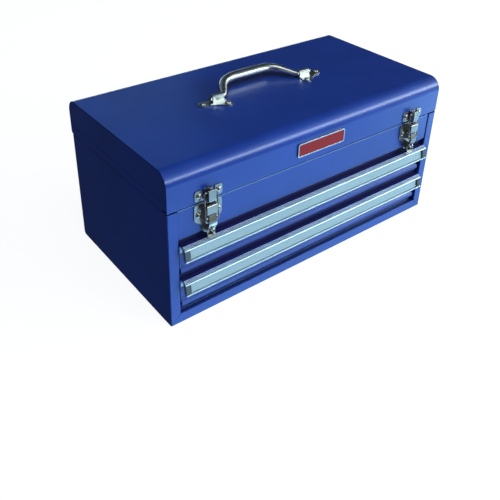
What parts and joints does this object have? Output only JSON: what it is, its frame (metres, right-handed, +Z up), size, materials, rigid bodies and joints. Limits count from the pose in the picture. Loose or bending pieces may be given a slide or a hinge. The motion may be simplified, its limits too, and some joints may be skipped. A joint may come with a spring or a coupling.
{
  "type": "metal tool box",
  "caption": "Blue sheet-steel tool box with sliding drawers, hinged lid over a top compartment, draw latches and a folding top handle.",
  "frame": {"origin": "centre of the cabinet's underside, on the plane it stands on", "axes": "+X to the right along the box, +Y to the back, +Z up; the drawers and latches face -Y"},
  "size_m": [0.508, 0.2801, 0.2567],
  "materials": {
    "blue_paint": "satin enamel over sheet steel",
    "tray_paint": "thin satin enamel, darker inside the drawers",
    "slide_steel": "zinc-plated rolled steel",
    "hinge_steel": "plated rolled steel",
    "latch_steel": "bright nickel plate",
    "handle_chrome": "bright chrome plate",
    "pull_aluminium": "satin extruded aluminium with bright lips",
    "pull_strip": "pale blue ribbed strip",
    "cap_plastic": "grey moulded end cap",
    "name_plate": "plain red enamel field in a bright rim, no lettering"
  },
  "bodies": {
    "cabinet": {"left_side_panel": "blue_paint", "right_side_panel": "blue_paint", "bottom_pan": "blue_paint", "back_panel": "blue_paint", "upper_front_panel": "blue_paint", "compartment_floor": "blue_paint", "body_hinge_leaf": "hinge_steel", "hinge_pin": "hinge_steel", "left_base_rivet_1": "latch_steel", "left_base_rivet_2": "latch_steel", "left_latch_base": "latch_steel", "left_latch_pin": "latch_steel", "upper_left_cabinet_slide": "slide_steel", "lower_left_cabinet_slide": "slide_steel", "right_base_rivet_1": "latch_steel", "right_base_rivet_2": "latch_steel", "right_latch_base": "latch_steel", "right_latch_pin": "latch_steel", "upper_right_cabinet_slide": "slide_steel", "lower_right_cabinet_slide": "slide_steel"},
    "lid": {"lid_shell": "blue_paint", "left_lid_end_cap": "blue_paint", "right_lid_end_cap": "blue_paint", "lid_hinge_leaf": "hinge_steel", "blank_name_plate": "name_plate", "left_keeper_rivet_1": "latch_steel", "left_bracket_rivet_1": "handle_chrome", "left_keeper_rivet_2": "latch_steel", "left_bracket_rivet_2": "handle_chrome", "left_latch_keeper": "latch_steel", "left_handle_bracket": "handle_chrome", "right_keeper_rivet_1": "latch_steel", "right_bracket_rivet_1": "handle_chrome", "right_keeper_rivet_2": "latch_steel", "right_bracket_rivet_2": "handle_chrome", "right_latch_keeper": "latch_steel", "right_handle_bracket": "handle_chrome"},
    "handle": {"carry_handle": "handle_chrome"},
    "left_lever": {"left_latch_lever": "latch_steel"},
    "left_loop": {"left_latch_loop": "latch_steel"},
    "right_lever": {"right_latch_lever": "latch_steel"},
    "right_loop": {"right_latch_loop": "latch_steel"},
    "upper_drawer": {"upper_drawer_tray": "tray_paint", "upper_drawer_front": "blue_paint", "upper_drawer_pull": "pull_aluminium", "upper_pull_strip": "pull_strip", "upper_left_pull_cap": "cap_plastic", "upper_left_drawer_rail": "slide_steel", "upper_right_pull_cap": "cap_plastic", "upper_right_drawer_rail": "slide_steel"},
    "lower_drawer": {"lower_drawer_tray": "tray_paint", "lower_drawer_front": "blue_paint", "lower_drawer_pull": "pull_aluminium", "lower_pull_strip": "pull_strip", "lower_left_pull_cap": "cap_plastic", "lower_left_drawer_rail": "slide_steel", "lower_right_pull_cap": "cap_plastic", "lower_right_drawer_rail": "slide_steel"}
  },
  "joints": [
    {"name": "lid_hinge", "type": "hinge", "parent": "cabinet", "child": "lid", "pos_m": [0, 0.1337, 0.18], "axis": [-1, 0, 0], "range_deg": [0, 100]},
    {"name": "handle_fold", "type": "hinge", "parent": "lid", "child": "handle", "pos_m": [0, 0.0046, 0.2431], "axis": [1, 0, 0], "range_deg": [0, 160]},
    {"name": "upper_drawer_slide", "type": "slide", "parent": "cabinet", "child": "upper_drawer", "axis": [0, -1, 0], "range_m": [0, 0.18]},
    {"name": "lower_drawer_slide", "type": "slide", "parent": "cabinet", "child": "lower_drawer", "axis": [0, -1, 0], "range_m": [0, 0.18]},
    {"name": "left_latch_swing", "type": "hinge", "parent": "cabinet", "child": "left_lever", "pos_m": [-0.193, -0.137, 0.158], "axis": [-1, 0, 0], "range_deg": [0, 105]},
    {"name": "left_loop_swing", "type": "hinge", "parent": "left_lever", "child": "left_loop", "pos_m": [-0.193, -0.14, 0.154], "axis": [-1, 0, 0], "range_deg": [-105, 0]},
    {"name": "right_latch_swing", "type": "hinge", "parent": "cabinet", "child": "right_lever", "pos_m": [0.193, -0.137, 0.158], "axis": [-1, 0, 0], "range_deg": [0, 105]},
    {"name": "right_loop_swing", "type": "hinge", "parent": "right_lever", "child": "right_loop", "pos_m": [0.193, -0.14, 0.154], "axis": [-1, 0, 0], "range_deg": [-105, 0]}
  ],
  "couplings": [
    {"joint": "left_loop_swing", "follows": "left_latch_swing", "ratio": -1},
    {"joint": "right_loop_swing", "follows": "right_latch_swing", "ratio": -1}
  ]
}
